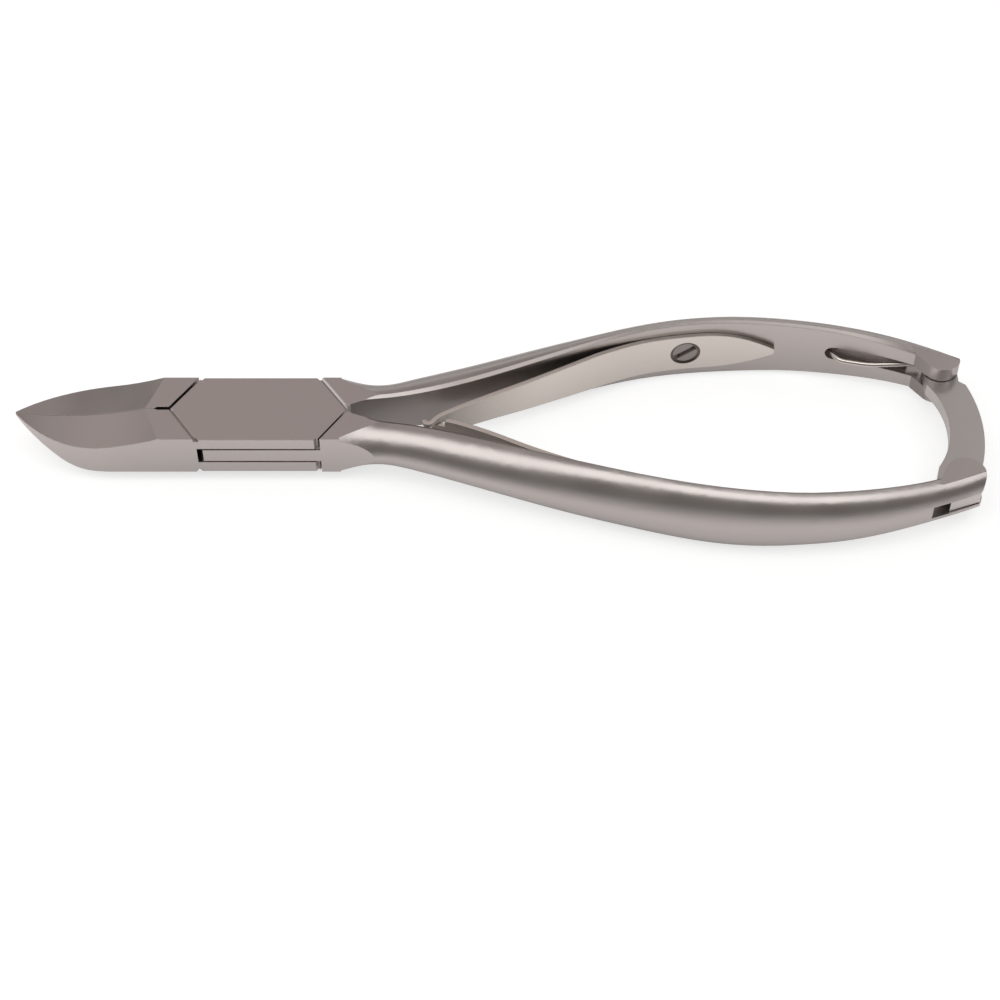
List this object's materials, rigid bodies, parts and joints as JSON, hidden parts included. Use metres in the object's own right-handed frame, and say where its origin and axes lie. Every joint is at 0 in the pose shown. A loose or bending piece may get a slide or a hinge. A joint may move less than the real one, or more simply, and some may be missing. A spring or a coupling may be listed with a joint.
{
  "type": "nail nipper",
  "caption": "Box-joint nail nipper with hollow-ground pointed jaws, strap handles, interlocking leaf springs and a swinging rear lock bar.",
  "frame": {"origin": "on the axis of the box joint's pin, on the flat back panel of the box", "axes": "+X from the jaws to the handle ends, +Y towards the handle of the box lever, +Z out of the front face along the pin"},
  "size_m": [0.1425, 0.0394, 0.0114],
  "materials": {
    "forged_steel": "satin",
    "spring_steel": "satin",
    "pin_steel": "satin",
    "wire_steel": "bright"
  },
  "bodies": {
    "box_lever": {"box_lever": "forged_steel", "joint_pin": "pin_steel", "upper_leaf_spring": "spring_steel", "upper_spring_screw": "pin_steel", "lock_pivot_pin": "pin_steel", "lock_wire_spring": "wire_steel"},
    "tongue_lever": {"tongue_lever": "forged_steel", "lower_leaf_spring": "spring_steel", "lower_spring_screw": "pin_steel", "lock_catch_pin": "pin_steel"},
    "lock_bar": {"lock_bar": "forged_steel"}
  },
  "joints": [
    {"name": "jaw_open", "type": "hinge", "parent": "box_lever", "child": "tongue_lever", "pos_m": [0, 0, 0.0035], "axis": [0, 0, -1], "range_deg": [0, 15], "deforming": ["upper_leaf_spring", "lower_leaf_spring"]},
    {"name": "lock_swing", "type": "hinge", "parent": "box_lever", "child": "lock_bar", "pos_m": [0.1017, 0.0103, 0.0035], "axis": [0, 0, 1], "range_deg": [0, 135]}
  ],
  "couplings": [
    {"joint": "lock_swing", "follows": "jaw_open", "ratio": 9}
  ]
}
